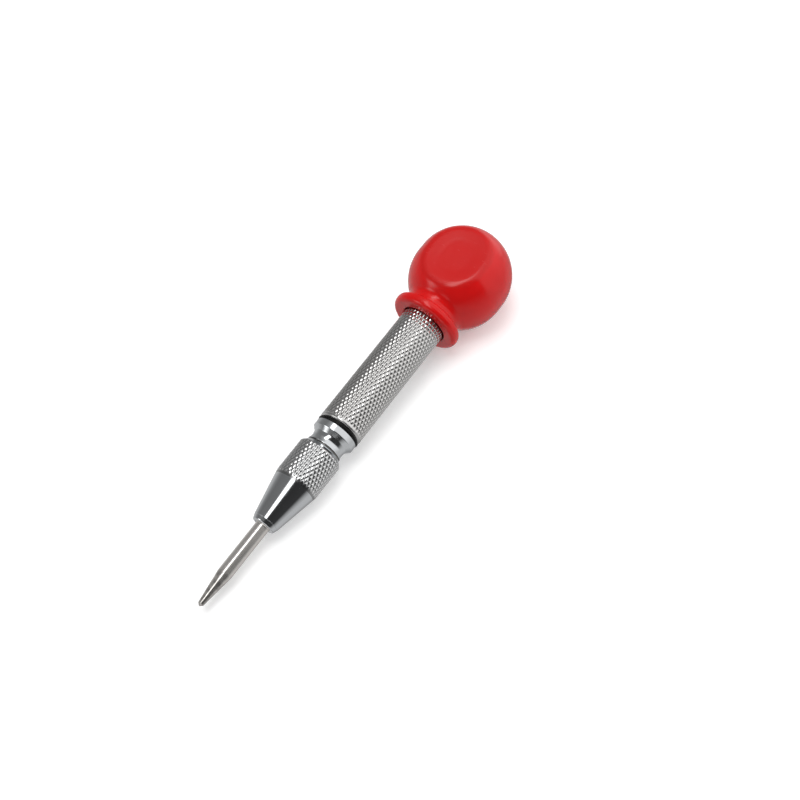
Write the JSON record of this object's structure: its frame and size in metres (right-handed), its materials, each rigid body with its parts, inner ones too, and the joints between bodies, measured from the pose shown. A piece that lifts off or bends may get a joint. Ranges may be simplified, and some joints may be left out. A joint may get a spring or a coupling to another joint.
{
  "type": "automatic center punch",
  "caption": "Spring-loaded punch for marking metal, with a knurled steel barrel and nose and a red ball knob that has two finger flats.",
  "frame": {"origin": "middle of the tool's length, on the plane of the knob's lower flat, below the tool axis", "axes": "+X from the punch point to the knob along the tool axis, +Z through the knob's upper flat"},
  "size_m": [0.13, 0.028, 0.0218],
  "materials": {
    "tool_steel": "ground",
    "plated_steel": "polished plating",
    "knurled_steel": "diamond knurl",
    "spring_steel": "drawn wire",
    "dark_washer": "blackened",
    "black_rubber": "smooth",
    "insert_brass": "turned",
    "red_plastic": "gloss moulded"
  },
  "bodies": {
    "housing": {"barrel": "knurled_steel", "front_body": "plated_steel", "o_ring": "black_rubber", "return_washer": "spring_steel", "return_spring": "spring_steel"},
    "punch": {"punch_bit": "tool_steel", "plunger": "tool_steel"},
    "nose_carrier": {"nose_washer": "dark_washer"},
    "nose": {"nose_cone": "plated_steel"},
    "striker": {"hammer": "tool_steel", "trip_spring": "spring_steel"},
    "trip": {"trip_slide": "tool_steel"},
    "adjuster_seat": {"spring_seat": "spring_steel", "main_spring": "spring_steel"},
    "adjuster": {"adjuster_screw": "spring_steel", "knob_insert": "insert_brass", "knob": "red_plastic"}
  },
  "joints": [
    {"name": "punch_stroke", "type": "slide", "parent": "housing", "child": "punch", "axis": [1, 0, 0], "range_m": [0, 0.0075], "stiffness_N_per_m": 900, "springref_m": -0.003, "deforming": ["return_spring"]},
    {"name": "hammer_slide", "type": "slide", "parent": "housing", "child": "striker", "axis": [1, 0, 0], "range_m": [0, 0.0076], "stiffness_N_per_m": 3500, "springref_m": -0.004, "deforming": ["main_spring"]},
    {"name": "trip_shift", "type": "slide", "parent": "striker", "child": "trip", "axis": [0, 0, -1], "range_m": [0, 0.00051], "deforming": ["trip_spring"]},
    {"name": "nose_travel", "type": "slide", "parent": "housing", "child": "nose_carrier", "axis": [-1, 0, 0], "range_m": [0, 0.008]},
    {"name": "nose_turn", "type": "hinge", "parent": "nose_carrier", "child": "nose", "pos_m": [-0.025, 0, 0.0109], "axis": [-1, 0, 0], "range_deg": [0, 2881]},
    {"name": "knob_travel", "type": "slide", "parent": "housing", "child": "adjuster_seat", "axis": [1, 0, 0], "range_m": [-0.002, 0.003]},
    {"name": "knob_turn", "type": "hinge", "parent": "adjuster_seat", "child": "adjuster", "pos_m": [0.05, 0, 0.0109], "axis": [1, 0, 0], "range_deg": [-721, 1081]}
  ],
  "couplings": [
    {"joint": "hammer_slide", "follows": "punch_stroke", "ratio": 1},
    {"joint": "trip_shift", "follows": "punch_stroke", "ratio": 0.066667},
    {"joint": "nose_turn", "follows": "nose_travel", "rad_per_m": 6283.2},
    {"joint": "knob_turn", "follows": "knob_travel", "rad_per_m": 6283.2}
  ]
}
